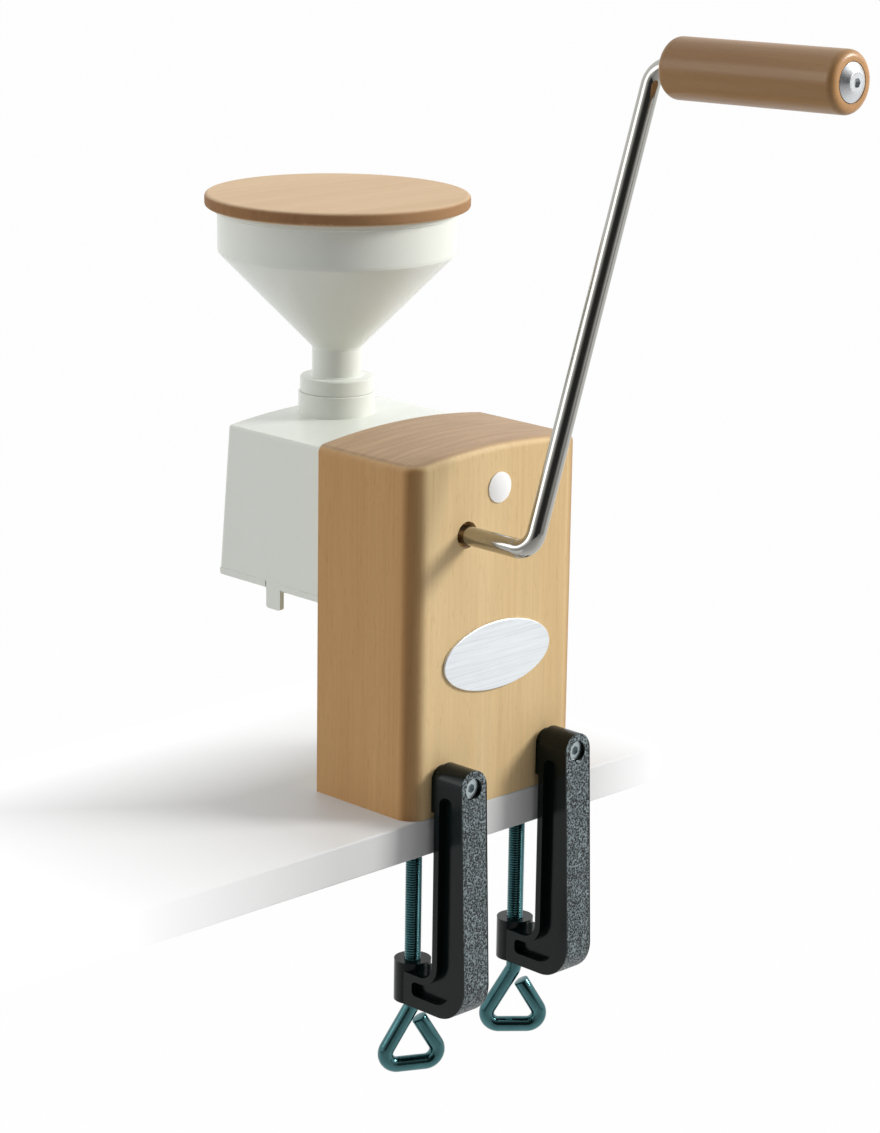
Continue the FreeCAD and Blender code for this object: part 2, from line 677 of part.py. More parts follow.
def make_hopper():
    top = LID_Z - FACE_CLEAR
    spigot_r = COLLAR_BORE_R - 0.2
    inner = HOPPER_R - HOPPER_WALL
    lip = HOPPER_R + HOPPER_LIP
    outline = [(THROAT_R, COLLAR_TOP - SPIGOT_L), (spigot_r, COLLAR_TOP - SPIGOT_L)]
    outline += [(spigot_r, COLLAR_TOP + 0.15), (RING_R, COLLAR_TOP + 0.15)]
    outline += [(RING_R, RING_TOP - 0.6), (RING_R - 0.6, RING_TOP), (NECK_R + 0.8, RING_TOP)]
    outline += [(NECK_R, RING_TOP + 0.8), (NECK_R, CONE_LOW - 1.2), (NECK_R + 0.5, CONE_LOW)]
    outline += [(HOPPER_R - 1.3, CONE_TOP - 1.4), (HOPPER_R - 0.3, CONE_TOP - 0.2)]
    outline += [(HOPPER_R, CONE_TOP + 1.2), (HOPPER_R, top - 2.6), (lip, top - 2.2)]
    outline += [(lip, top), (inner, top), (inner, CONE_TOP + 1.0), (THROAT_R, CONE_LOW + 1.5)]
    return lathe(outline, 0.0, HOPPER_Y)


def lid_screw_places():
    places = []
    for i in range(3):
        turn = math.radians(120 * i + 30)
        reach = HOPPER_R - HOPPER_WALL - LID_SCREW_IN
        places.append((reach * math.cos(turn), HOPPER_Y + reach * math.sin(turn)))
    return places


def make_lid_disc():
    disc = cyl_z(LID_R, LID_Z, LID_Z + LID_T, 0, HOPPER_Y)
    return disc.makeFillet(LID_EDGE, edges_where(disc, is_ring))


def make_lid_step():
    outer = HOPPER_R - HOPPER_WALL - 0.6
    step = cyl_z(outer, LID_Z - LID_STEP_T, LID_Z - SEAT_CLEAR, 0, HOPPER_Y)
    return step.cut(cyl_z(outer - LID_STEP_W, LID_Z - LID_STEP_T - 1, LID_Z, 0, HOPPER_Y))


def make_lid_screws():
    screws = []
    under = LID_Z - LID_STEP_T
    for x, y in lid_screw_places():
        head = cyl_z(LID_SCREW_HEAD_R, under - LID_SCREW_HEAD_H, under, x, y)
        shank = cyl_z(LID_SCREW_R, under - 0.5, LID_Z + LID_SCREW_GRIP, x, y)
        screws.append(head.fuse(shank).removeSplitter())
    return Part.makeCompound(screws)


def cut_screw_holes(shape):
    for x, y in lid_screw_places():
        shape = shape.cut(cyl_z(LID_SCREW_R + SEAT_CLEAR, LID_Z - LID_STEP_T - 2,
                                LID_Z + LID_SCREW_GRIP + SEAT_GAP, x, y))
    return shape


def slab(edges, width):
    """Extrude a closed outline in the YZ plane evenly to both sides."""
    shape = Part.Face(Part.Wire(edges)).extrude(Vector(width, 0, 0))
    shape.translate(Vector(-width / 2.0, 0, 0))
    return shape


def face_y(z):
    """Where the clamp's splayed outer face lies at a height."""
    share = (CLAMP_TOP - z) / (CLAMP_TOP - CLAMP_LOW - CLAMP_CORNER_R)
    return CLAMP_OUT_Y - CLAMP_SPLAY * share


def clamp_outline():
    turn = CLAMP_LOW + CLAMP_CORNER_R
    toe = Vector(0, CLAMP_TOE_Y, turn)
    sole = Vector(0, CLAMP_TOE_Y + CLAMP_CORNER_R, CLAMP_LOW)
    tread = Vector(0, CLAMP_IN_Y + FOOT_R, FOOT_TOP)
    shin = Vector(0, CLAMP_IN_Y, FOOT_TOP + FOOT_R)
    head_in = Vector(0, CLAMP_IN_Y, CLAMP_TOP)
    head_out = Vector(0, CLAMP_OUT_Y, CLAMP_TOP)
    end_low = Vector(0, BOSS_Y, CLAMP_LOW)
    end_high = Vector(0, BOSS_Y, FOOT_TOP)
    edges = [line(head_in, head_out), line(head_out, toe)]
    edges.append(corner_arc(toe, sole, Vector(0, sole.y, turn), CLAMP_CORNER_R))
    edges += [line(sole, end_low), line(end_low, end_high), line(end_high, tread)]
    edges.append(corner_arc(tread, shin, Vector(0, tread.y, shin.z), FOOT_R))
    edges.append(line(shin, head_in))
    return edges


def pocket_outline():
    inner = CLAMP_IN_Y - RIM_W
    outer = inner - POCKET_W
    bend = FOOT_R + RIM_W
    low = CLAMP_LOW + SOLE_H
    high = POCKET_TOP - POCKET_R
    end = BOSS_Y - POCKET_END
    turn = low + POCKET_CORNER_R
    roof = FOOT_TOP - RIM_W
    in_high = Vector(0, inner, high)
    in_top = Vector(0, inner - POCKET_R, POCKET_TOP)
    out_top = Vector(0, outer + POCKET_R, POCKET_TOP)
    out_high = Vector(0, outer, high)
    toe = Vector(0, outer, turn)
    sole = Vector(0, outer + POCKET_CORNER_R, low)
    end_sole = Vector(0, end - POCKET_END_R, low)
    end_low = Vector(0, end, low + POCKET_END_R)
    end_high = Vector(0, end, roof - POCKET_END_R)
    end_roof = Vector(0, end - POCKET_END_R, roof)
    tread = Vector(0, inner + bend, roof)
    shin = Vector(0, inner, FOOT_TOP + FOOT_R)
    edges = [corner_arc(in_high, in_top, Vector(0, in_top.y, high), POCKET_R)]
    edges.append(line(in_top, out_top))
    edges.append(corner_arc(out_top, out_high, Vector(0, out_top.y, high), POCKET_R))
    edges.append(line(out_high, toe))
    edges.append(corner_arc(toe, sole, Vector(0, sole.y, turn), POCKET_CORNER_R))
    edges.append(line(sole, end_sole))
    edges.append(corner_arc(end_sole, end_low, Vector(0, end_sole.y, end_low.z), POCKET_END_R))
    edges.append(line(end_low, end_high))
    edges.append(corner_arc(end_high, end_roof, Vector(0, end_roof.y, end_high.z), POCKET_END_R))
    edges.append(line(end_roof, tread))
    edges.append(corner_arc(tread, shin, Vector(0, tread.y, shin.z), bend))
    edges.append(line(shin, in_high))
    return edges


def half_round(half_w, y0, y1, low, top):
    """An upright slab with a half-round top."""
    body = box(-half_w, half_w, y0, y1, low, top - half_w)
    return body.fuse(cyl_y(half_w, y0, y1, 0, top - half_w)).removeSplitter()


def make_clamp(x, lift):
    whole = slab(clamp_outline(), CLAMP_W)
    whole = whole.common(half_round(CLAMP_W / 2.0, -200, 100, -200, CLAMP_TOP))
    pocket = slab(pocket_outline(), CLAMP_W + 2)
    web = box(-WEB_W / 2.0, WEB_W / 2.0, -200, 100, -200, 200)
    clamp = whole.cut(pocket.cut(web))
    neck = half_round(NECK_HALF_W, CLAMP_IN_Y - 0.5, FRONT_Y - SEAT_GAP, NECK_LOW,
                      CLAMP_TOP - CLAMP_W / 2.0 + NECK_HALF_W)
    boss = cyl_z(BOSS_R, CLAMP_LOW, BOSS_TOP, 0, BOSS_Y)
    clamp = clamp.fuse([neck, boss])
    clamp = clamp.cut(cyl_z(SCREW_R + SCREW_CLEAR, CLAMP_LOW - 5, BOSS_TOP + 5, 0, BOSS_Y))
    seat = face_y(FIX_Z) + FIX_SINK
    clamp = clamp.cut(cyl_y(FIX_SINK_R, seat - FIX_SINK - 5, seat, 0, FIX_Z))
    clamp = clamp.cut(cyl_y(FIX_R + 0.1, seat - 1, FRONT_Y + 1, 0, FIX_Z))
    clamp = clamp.removeSplitter()
    clamp.translate(Vector(x, 0, lift))
    return clamp


def make_fix_screw(x, lift):
    seat = face_y(FIX_Z) + FIX_SINK
    z = FIX_Z + lift
    screw = cyl_y(FIX_HEAD_R, seat - FIX_HEAD_H, seat, x, z)
    screw = screw.fuse(cyl_y(FIX_R, seat - 0.5, FRONT_Y + FIX_DEPTH, x, z)).removeSplitter()
    socket = hexagon(FIX_HEX_R, x, seat - FIX_HEAD_H - 1, z)
    return screw.cut(prism(socket, Vector(0, FIX_HEAD_H / 2.0 + 1, 0)))


def make_pad(x):
    pad = cyl_z(PAD_R, PAD_TOP - PAD_T, PAD_TOP, x, BOSS_Y)
    pad = pad.makeChamfer(PAD_EDGE, edges_where(pad, is_ring))
    return pad.cut(cyl_z(TIP_R + RUN_CLEAR, PAD_TOP - PAD_T - 1, PAD_TOP - PAD_CAP, x, BOSS_Y))


def make_clamp_screw(x, heading):
    """Threaded rod whose lower end is bent into a triangular finger loop."""
    shoulder = PAD_TOP - PAD_T - END_CLEAR
    bar = cyl_z(SCREW_R, CLAMP_LOW - 0.5, shoulder, x, BOSS_Y)
    tip = cyl_z(TIP_R, shoulder - 1, PAD_TOP - PAD_CAP - END_CLEAR, x, BOSS_Y)
    root = Vector(0, 0, CLAMP_LOW)
    start = Vector(0, 0, CLAMP_LOW - LOOP_START)
    left = Vector(-LOOP_HALF_W, 0, CLAMP_LOW - LOOP_DROP)
    right = Vector(LOOP_HALF_W, 0, CLAMP_LOW - LOOP_DROP)
    tail = Vector(LOOP_TAIL_X, 0, CLAMP_LOW - LOOP_TAIL_DROP)
    loop = bent_rod([root, start, left, right, tail], LOOP_BEND_R, LOOP_WIRE_R)
    loop.rotate(Vector(0, 0, 0), Vector(0, 0, 1), heading)
    loop.translate(Vector(x, BOSS_Y, 0))
    return bar.fuse([tip, loop]).removeSplitter()


def main():
    save("wood_block", make_block())
    save("name_plate", make_name_plate())
    save("front_plug", make_front_plug())
    save("housing_bolt", make_fixing_bolt())
    save("housing_nut", make_nut())
    save("front_bush", make_bush(FRONT_Y + BUSH_INSET, FRONT_Y + BUSH_INSET + BUSH_L,
                                 -ROLLER_X, BORE_R - SEAT_CLEAR))
    save("rear_bush", make_bush(BACK_Y - BUSH_L, BACK_Y, -ROLLER_X, BORE_R - SEAT_CLEAR))
    save("front_bearing_plate", make_bearing_plate(FRONT_PLATE_Y, False))
    save("rear_bearing_plate", make_bearing_plate(REAR_PLATE_Y, True))
    save("plate_bushes", make_plate_bushes())
    save("tie_bars", make_tie_bars())
    save("plate_screws", make_plate_screws())
    save("housing_shell", make_housing_shell())
    save("housing_base_frame", make_base_frame())
    save("crank_rod", make_crank_rod())
    save("drive_roller", make_roller(-ROLLER_X))
    save("drive_gear", make_gear(-ROLLER_X, 0.0))
    save("drive_pins", make_cross_pins(-ROLLER_X))
    save("drive_clip", make_clip(-ROLLER_X))
    save("driven_axle", make_driven_axle())
    save("driven_roller", make_roller(ROLLER_X))
    save("driven_gear", make_gear(ROLLER_X, math.pi - math.pi / TEETH))
    save("driven_pins", make_cross_pins(ROLLER_X))
    save("driven_clip", make_clip(ROLLER_X))
    save("crank_grip", make_grip())
    save("grip_washer", make_grip_washer())
    save("grip_screw", make_grip_screw())
    save("hopper", make_hopper())
    save("lid_disc", cut_screw_holes(make_lid_disc()))
    save("lid_step", cut_screw_holes(make_lid_step()))
    save("lid_screws", make_lid_screws())
    for label, side, lift, heading in (("left", -1, 0.0, -28.0), ("right", 1, RIGHT_LIFT, -42.0)):
        x = side * CLAMP_X
        save("clamp_" + label, make_clamp(x, lift))
        save("clamp_fix_screw_" + label, make_fix_screw(x, lift))
        save("clamp_screw_" + label, make_clamp_screw(x, heading))
        save("clamp_pad_" + label, make_pad(x))


main()
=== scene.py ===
"""Looks, light and camera of a hand crank grain flaker.

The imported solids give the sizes. This file gives each of them its finish and
builds the pieces whose detail the solids leave plain, such as screw threads.
All lengths are in metres: X along the front face, Y to the back, Z up.
"""

import logging
import math
from dataclasses import dataclass
from enum import Enum
from typing import Any

import bmesh
import bpy
from mathutils import Matrix, Vector

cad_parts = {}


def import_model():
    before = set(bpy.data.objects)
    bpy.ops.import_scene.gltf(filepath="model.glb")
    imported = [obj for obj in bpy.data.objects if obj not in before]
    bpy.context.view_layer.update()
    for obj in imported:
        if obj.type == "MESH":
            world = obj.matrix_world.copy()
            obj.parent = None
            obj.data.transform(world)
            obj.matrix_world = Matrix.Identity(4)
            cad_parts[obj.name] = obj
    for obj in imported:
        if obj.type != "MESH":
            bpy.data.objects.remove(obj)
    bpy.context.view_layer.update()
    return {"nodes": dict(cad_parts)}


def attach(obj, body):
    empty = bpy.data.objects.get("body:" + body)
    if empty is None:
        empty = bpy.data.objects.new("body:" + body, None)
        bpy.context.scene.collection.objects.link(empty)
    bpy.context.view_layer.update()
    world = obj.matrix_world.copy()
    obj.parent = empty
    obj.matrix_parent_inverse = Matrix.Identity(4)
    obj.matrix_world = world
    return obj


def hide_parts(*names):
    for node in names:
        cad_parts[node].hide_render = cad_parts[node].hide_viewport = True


log = logging.getLogger("flaker")

MM = 0.001
Colour = tuple[float, float, float]


class Grain(Enum):
    """Row axis that the wood fibres run along."""

    X = 0
    Y = 1
    Z = 2


class Graph:
    """Small helper that adds and links the nodes of one material."""

    def __init__(self, name: str) -> None:
        """Start an empty material.

        Args:
            name: name of the material.
        """
        self.material = bpy.data.materials.new(name)
        self.material.use_nodes = True
        self.tree = self.material.node_tree
        self.tree.nodes.clear()
        self.output = self.tree.nodes.new("ShaderNodeOutputMaterial")

    def add(self, kind: str, sockets: dict[Any, Any] | None = None, **fields: Any) -> Any:
        """Add a node.

        Args:
            kind: Blender's name of the node type.
            sockets: input names or indices, each with a value or a linked socket.
            fields: settings of the node itself.

        Returns:
            The new node.
        """
        node = self.tree.nodes.new(kind)
        for key, value in fields.items():
            setattr(node, key, value)
        for key, value in (sockets or {}).items():
            if isinstance(value, bpy.types.NodeSocket):
                self.tree.links.new(value, node.inputs[key])
            else:
                node.inputs[key].default_value = value
        return node

    def place(self, scale: tuple[float, float, float], shift: Colour = (0, 0, 0)) -> Any:
        """Object coordinates, scaled per metre.

        Args:
            scale: factors along X, Y and Z.
            shift: offset along X, Y and Z.

        Returns:
            The vector socket.
        """
        coords = self.add("ShaderNodeTexCoord")
        mapping = self.add("ShaderNodeMapping", {"Vector": coords.outputs["Object"],
                                                 "Scale": scale, "Location": shift})
        return mapping.outputs["Vector"]

    def normal(self) -> Any:
        """Surface normal.

        Returns:
            The sockets of its X, Y and Z.
        """
        normal = self.add("ShaderNodeNewGeometry").outputs["Normal"]
        return self.add("ShaderNodeSeparateXYZ", {0: normal}).outputs

    def position(self) -> Any:
        """Place on the object.

        Returns:
            The sockets of its X, Y and Z, in metres.
        """
        return self.add("ShaderNodeSeparateXYZ", {0: self.place((1, 1, 1))}).outputs

    def noise(self, vector: Any, scale: float, detail: float = 4.0, rough: float = 0.5) -> Any:
        """Noise value on a vector.

        Args:
            vector: vector socket.
            scale: scale of the noise.
            detail: octaves.
            rough: strength of the finer octaves.

        Returns:
            The value socket.
        """
        node = self.add("ShaderNodeTexNoise", {"Vector": vector, "Scale": scale,
                                               "Detail": detail, "Roughness": rough})
        return node.outputs["Fac"]

    def ramp(self, value: Any, stops: list[tuple[float, float]]) -> Any:
        """Grey ramp of a value.

        Args:
            value: value socket.
            stops: positions and their grey levels.

        Returns:
            The ramped colour socket.
        """
        node = self.add("ShaderNodeValToRGB", {"Fac": value})
        points = node.color_ramp.elements
        while len(points) < len(stops):
            points.new(0.5)
        for point, (at, grey) in zip(points, stops):
            point.position = at
            point.color = (grey, grey, grey, 1.0)
        return node.outputs["Color"]

    def mix(self, factor: Any, first: Any, second: Any, how: str = "MIX") -> Any:
        """Mix two colours.

        Args:
            factor: value or socket.
            first: colour or socket at 0.
            second: colour or socket at 1.
            how: blend type.

        Returns:
            The mixed colour socket.
        """
        def four(value: Any) -> Any:
            """Give a plain colour its alpha."""
            return (*value, 1.0) if isinstance(value, tuple) else value
        node = self.add("ShaderNodeMix", {0: factor, 6: four(first), 7: four(second)},
                        data_type="RGBA", blend_type=how)
        return node.outputs[2]

    def math(self, how: str, first: Any, second: Any = 0.0) -> Any:
        """Add a math node.

        Args:
            how: operation.
            first: value or socket.
            second: value or socket.

        Returns:
            The value socket.
        """
        return self.add("ShaderNodeMath", {0: first, 1: second}, operation=how).outputs[0]

    def bump(self, height: Any, distance: float, strength: float = 1.0) -> Any:
        """Bump from a height.

        Args:
            height: height socket, 0 to 1.
            distance: metres for a height of 1.
            strength: strength of the effect.

        Returns:
            The normal socket.
        """
        node = self.add("ShaderNodeBump", {"Height": height, "Distance": distance,
                                           "Strength": strength})
        return node.outputs["Normal"]

    def shade(self, **sockets: Any) -> bpy.types.Material:
        """Finish with one Principled shader.

        Args:
            sockets: its inputs, with underscores for spaces.

        Returns:
            The finished material.
        """
        node = self.add("ShaderNodeBsdfPrincipled")
        for key, value in sockets.items():
            socket = node.inputs[key.replace("_", " ")]
            if isinstance(value, bpy.types.NodeSocket):
                self.tree.links.new(value, socket)
            elif isinstance(value, tuple):
                socket.default_value = (*value, 1.0)
            else:
                socket.default_value = value
        self.tree.links.new(node.outputs[0], self.output.inputs[0])
        return self.material


@dataclass(frozen=True)
class Beech:
    """Oiled or lacquered beech with fibres, rays and end grain.

    side tints the faces that look along X darker and browner, partly the wood's own tone
    and partly painted shade; rim is painted shade on the upright faces all round; and
    corner says how far painted shade darkens the rounded upright edges.
    """

    name: str
    light: Colour
    dark: Colour
    fleck: Colour
    end: Colour
    grain: Grain = Grain.Z
    side: Colour | None = None
    rim: Colour | None = None
    corner: float = 0.0
    rings: tuple[float, float, float] = (26.0, 300.0, 90.0)
    roughness: float = 0.52
    coat: float = 0.0
    fibre: float = 1.0
    contrast: float = 0.20
    ior: float = 1.34
    corner_shade: Colour = (0.50, 0.40, 0.30)
    bump_depth: float = 0.1 * MM

    def stretch(self, across: float, along: float) -> tuple[float, float, float]:
        """Scale that draws a pattern out along the grain.

        Args:
            across: scale across the fibres.
            along: scale along them.

        Returns:
            The three factors.
        """
        scale = [across, across, across]
        scale[self.grain.value] = along
        return (scale[0], scale[1], scale[2])

    def build(self) -> bpy.types.Material:
        """Build the material.

        Returns:
            The material.
        """
        g = Graph(self.name)
        broad = g.noise(g.place(self.stretch(34, 2.2)), 1.0, 5, 0.55)
        fibre = g.noise(g.place(self.stretch(620, 14)), 1.0, 6, 0.62)
        rays = g.noise(g.place(self.stretch(900, 150), (3, 1, 2)), 1.0, 2, 0.5)
        pores = g.noise(g.place((1500, 1500, 1500)), 1.0, 2, 0.6)
        rings = g.noise(g.place(self.rings, (0.31, 0.22, 0.4)), 1.0, 4, 0.55)
        body = g.mix(g.ramp(broad, [(0.32, 0.0), (0.68, 1.0)]), self.light, self.dark)
        streak = g.ramp(fibre, [(0.30, 0.55), (0.62, 1.0)])
        body = g.mix(self.contrast * self.fibre, body, streak, "MULTIPLY")
        body = g.mix(g.math("MULTIPLY", g.ramp(rays, [(0.60, 0.0), (0.70, 1.0)]),
                            0.30 * self.fibre), body, self.fleck)
        normal = g.normal()
        # Faces looking along X are tinted darker and browner: partly the wood's own tone, partly
        # painted shade.
        if self.side is not None:
            mask = g.ramp(g.math("ABSOLUTE", normal[0]), [(0.35, 0.0), (0.95, 1.0)])
            body = g.mix(mask, body, g.mix(0.85, body, self.side, "MULTIPLY"))
        # Painted shade: the rounded upright edges, where faces along X and Y meet, are darkened
        # towards this colour.
        if self.corner:
            round_edge = g.math("ABSOLUTE", g.math("MULTIPLY", normal[0], normal[1]))
            mask = g.ramp(round_edge, [(0.10, 0.0), (0.42, self.corner)])
            body = g.mix(mask, body, g.mix(1.0, body, self.corner_shade, "MULTIPLY"))
        ends = g.math("ABSOLUTE", normal[self.grain.value])
        end_mask = g.ramp(ends, [(0.62, 0.0), (0.88, 1.0)])
        late = g.mix(g.ramp(rings, [(0.34, 0.0), (0.62, 0.8)]), self.end,
                     tuple(0.80 * c for c in self.end))
        late = g.mix(g.math("MULTIPLY", g.ramp(pores, [(0.56, 0.0), (0.68, 1.0)]), 0.35), late,
                     tuple(0.55 * c for c in self.end))
        body = g.mix(end_mask, body, late)
        # Painted shade: upright faces are darkened towards the rim colour, leaving the top
        # lighter.
        if self.rim is not None:
            upright = g.ramp(g.math("ABSOLUTE", normal[2]), [(0.35, 1.0), (0.92, 0.0)])
            body = g.mix(upright, body, g.mix(0.9, body, self.rim, "MULTIPLY"))
        height = g.mix(end_mask, fibre, pores)
        rough = g.ramp(fibre, [(0.2, self.roughness + 0.08), (0.8, self.roughness - 0.06)])
        return g.shade(Base_Color=body, Roughness=rough,
                       Normal=g.bump(height, self.bump_depth, 0.55),
                       Coat_Weight=self.coat, Coat_Roughness=0.2, IOR=self.ior)


@dataclass(frozen=True)
class MouldedPlastic:
    """Glossy moulded plastic with a faint ripple from the mould."""

    name: str
    colour: Colour
    roughness: float = 0.2
    ripple: float = 0.06 * MM

    def build(self) -> bpy.types.Material:
        """Build the material.

        Returns:
            The material.
        """
        g = Graph(self.name)
        slow = g.noise(g.place((1, 1, 1)), 46.0, 2, 0.4)
        cloud = g.noise(g.place((1, 1, 1), (5, 2, 1)), 90.0, 3, 0.5)
        colour = g.mix(g.ramp(slow, [(0.0, 0.0), (1.0, 1.0)]), self.colour,
                       tuple(0.965 * c for c in self.colour))
        rough = g.ramp(cloud, [(0.0, self.roughness - 0.05), (1.0, self.roughness + 0.05)])
        return g.shade(Base_Color=colour, Roughness=rough, Normal=g.bump(slow, self.ripple, 0.5),
                       IOR=1.49)


@dataclass(frozen=True)
class Steel:
    """Bare, plated or polished metal with fine scratches along one axis."""

    name: str
    colour: Colour
    roughness: float = 0.2
    grain: Grain = Grain.Z
    across: float = 1500.0
    along: float = 30.0
    depth: float = 0.00002
    stain: float = 0.12
    streak: float = 0.0

    def build(self) -> bpy.types.Material:
        """Build the material.

        Returns:
            The material.
        """
        g = Graph(self.name)
        scale = [self.across] * 3
        scale[self.grain.value] = self.along
        scratch = g.noise(g.place((scale[0], scale[1], scale[2])), 1.0, 4, 0.6)
        cloud = g.noise(g.place((1, 1, 1), (1, 4, 2)), 120.0, 4, 0.6)
        colour = g.mix(g.math("MULTIPLY", g.ramp(cloud, [(0.35, 0.0), (0.7, 1.0)]), self.stain),
                       self.colour, tuple(0.55 * c for c in self.colour))
        if self.streak:
            lines = g.ramp(scratch, [(0.34, 1.0 - self.streak), (0.60, 1.0)])
            colour = g.mix(1.0, colour, lines, "MULTIPLY")
        rough = g.ramp(scratch, [(0.25, max(self.roughness - 0.07, 0.03)),
                                 (0.75, self.roughness + 0.08)])
        return g.shade(Base_Color=colour, Metallic=1.0, Roughness=rough,
                       Normal=g.bump(scratch, self.depth, 0.5))


@dataclass(frozen=True)
class ClampIron:
    """Glossy black enamel whose outward face has a grey hammered coat."""

    name: str
    enamel: Colour = (0.004, 0.0085, 0.0085)
    hammer_low: Colour = (0.012, 0.014, 0.015)
    hammer_high: Colour = (0.25, 0.31, 0.33)
    middle: float = 35.1 * MM
    half_width: float = 7.7 * MM
    coat_behind: float = -42.5 * MM
    cell_scale: float = 1050.0
    pit_scale: float = 760.0
    metal_share: float = 0.35
    bump_depth: float = 0.6 * MM

    def coat_mask(self, g: Graph) -> Any:
        """Where the hammered coat lies: the outward face and the lower corner.

        Args:
            g: the material's graph.

        Returns:
            The mask socket.
        """
        place = g.position()
        normal = g.normal()
        facing = g.math("MAXIMUM", g.math("MULTIPLY", normal[1], -1.0),
                        g.math("MULTIPLY", normal[2], -1.0))
        outward = g.ramp(facing, [(0.55, 0.0), (0.72, 1.0)])
        across = g.math("ABSOLUTE", g.math("SUBTRACT", g.math("ABSOLUTE", place[0]),
                                           self.middle))
        inside = g.math("LESS_THAN", across, self.half_width)
        front = g.math("LESS_THAN", place[1], self.coat_behind)
        return g.math("MULTIPLY", g.math("MULTIPLY", outward, inside), front)

    def build(self) -> bpy.types.Material:
        """Build the material.

        Returns:
            The material.
        """
        g = Graph(self.name)
        mask = self.coat_mask(g)
        cells = g.add("ShaderNodeTexVoronoi",
                      {"Vector": g.place((1, 1, 1)), "Scale": self.cell_scale,
                       "Smoothness": 0.6, "Randomness": 1.0},
                      feature="SMOOTH_F1").outputs["Distance"]
        pits = g.noise(g.place((1, 1, 1), (2, 7, 1)), self.pit_scale, 3, 0.6)
        patch = g.noise(g.place((1, 1, 1), (4, 1, 3)), 150.0, 2, 0.5)
        hammered = g.math("ADD", g.math("MULTIPLY", cells, 0.85), g.math("MULTIPLY", pits, 0.75))
        tops = g.ramp(hammered, [(0.64, 0.0), (0.98, 1.0)])
        tops = g.math("MULTIPLY", tops, g.ramp(patch, [(0.3, 0.62), (0.7, 1.0)]))
        grey = g.mix(tops, self.hammer_low, self.hammer_high)
        peel = g.noise(g.place((1, 1, 1)), 230.0, 2, 0.5)
        colour = g.mix(mask, self.enamel, grey)
        height = g.mix(mask, g.mix(0.93, peel, (0.5, 0.5, 0.5)), hammered)
        rough = g.mix(mask, (0.19, 0.19, 0.19), (0.36, 0.36, 0.36))
        metal = g.math("MULTIPLY", g.math("MULTIPLY", mask, tops), self.metal_share)
        return g.shade(Base_Color=colour, Roughness=rough, Metallic=metal,
                       Normal=g.bump(height, self.bump_depth, 0.9), IOR=1.28)


# The block's side tint is partly its own tone and partly painted shade, and its corner value
# paints shade on the rounded upright edges.
WOOD_BLOCK = Beech("beech_block", (0.79, 0.59, 0.325), (0.71, 0.50, 0.25),
                   (0.56, 0.36, 0.16), (0.51, 0.345, 0.21), side=(0.74, 0.55, 0.385), corner=0.8)
# The lid's rim colour is painted shade on its upright faces.
WOOD_LID = Beech("beech_lid", (0.71, 0.53, 0.35), (0.64, 0.46, 0.29), (0.50, 0.31, 0.16),
                 (0.62, 0.42, 0.25), grain=Grain.X, rim=(0.50, 0.36, 0.24), roughness=0.64,
                 fibre=0.55, ior=1.25)
WOOD_GRIP = Beech("beech_grip", (0.40, 0.225, 0.092), (0.30, 0.160, 0.062), (0.19, 0.095, 0.036),
                  (0.56, 0.30, 0.12), grain=Grain.Y, roughness=0.38, coat=0.2, fibre=0.6,
                  ior=1.33)
WHITE = MouldedPlastic("housing_white", (0.82, 0.85, 0.79), 0.24)
PLUG_WHITE = MouldedPlastic("plug_white", (0.92, 0.92, 0.92), 0.3)
BLACK_PLASTIC = MouldedPlastic("gear_plastic", (0.025, 0.025, 0.027), 0.42, 0.00004)
ROD_STEEL = Steel("rod_steel", (0.43, 0.425, 0.395), 0.11, depth=0.000006)
WASHER_STEEL = Steel("washer_steel", (0.66, 0.68, 0.70), 0.3, Grain.Y, 900.0, 900.0, stain=0.04)
PLATE_METAL = Steel("plate_metal", (0.88, 0.92, 0.95), 0.34, Grain.X, 2600.0, 22.0, stain=0.03,
                    streak=0.16)
ZINC = Steel("zinc_steel", (0.072, 0.178, 0.192), 0.13, Grain.X, 420.0, 420.0, stain=0.55)
BRIGHT_ZINC = Steel("bright_zinc", (0.46, 0.53, 0.55), 0.3, Grain.X, 700.0, 700.0, stain=0.4)
BLACK_OXIDE = Steel("dark_steel", (0.06, 0.075, 0.08), 0.34, Grain.X, 700.0, 700.0)
BRONZE = Steel("bush_bronze", (0.55, 0.36, 0.16), 0.34, Grain.Y, 1200.0, 1200.0)
ROLLER_STEEL = Steel("roller_steel", (0.56, 0.56, 0.56), 0.26, Grain.Y, 1500.0, 60.0)
CARRIER_STEEL = Steel("carrier_steel", (0.58, 0.59, 0.60), 0.36, Grain.X, 1100.0, 60.0)
CLAMP_IRON = ClampIron("clamp_iron")

NODE_FINISHES: dict[str, Any] = {
    "wood_block": WOOD_BLOCK, "name_plate": PLATE_METAL, "front_plug": PLUG_WHITE,
    "housing_bolt": BLACK_OXIDE, "housing_nut": ZINC, "front_bush": BRONZE, "rear_bush": BRONZE,
    "front_bearing_plate": CARRIER_STEEL, "rear_bearing_plate": CARRIER_STEEL,
    "plate_bushes": BRONZE, "tie_bars": CARRIER_STEEL, "plate_screws": ZINC,
    "housing_shell": WHITE, "housing_base_frame": WHITE, "crank_rod": ROD_STEEL,
    "drive_roller": ROLLER_STEEL, "drive_gear": BLACK_PLASTIC, "drive_pins": ZINC,
    "drive_clip": BLACK_OXIDE, "driven_axle": ROD_STEEL, "driven_roller": ROLLER_STEEL,
    "driven_gear": BLACK_PLASTIC, "driven_pins": ZINC, "driven_clip": BLACK_OXIDE,
    "crank_grip": WOOD_GRIP, "grip_washer": WASHER_STEEL, "grip_screw": WASHER_STEEL,
    "hopper": WHITE, "lid_disc": WOOD_LID, "lid_step": WOOD_LID, "lid_screws": ZINC,
    "clamp_left": CLAMP_IRON, "clamp_right": CLAMP_IRON,
    "clamp_fix_screw_left": BRIGHT_ZINC, "clamp_fix_screw_right": BRIGHT_ZINC,
    "clamp_screw_left": ZINC, "clamp_screw_right": ZINC,
    "clamp_pad_left": ZINC, "clamp_pad_right": ZINC,
}


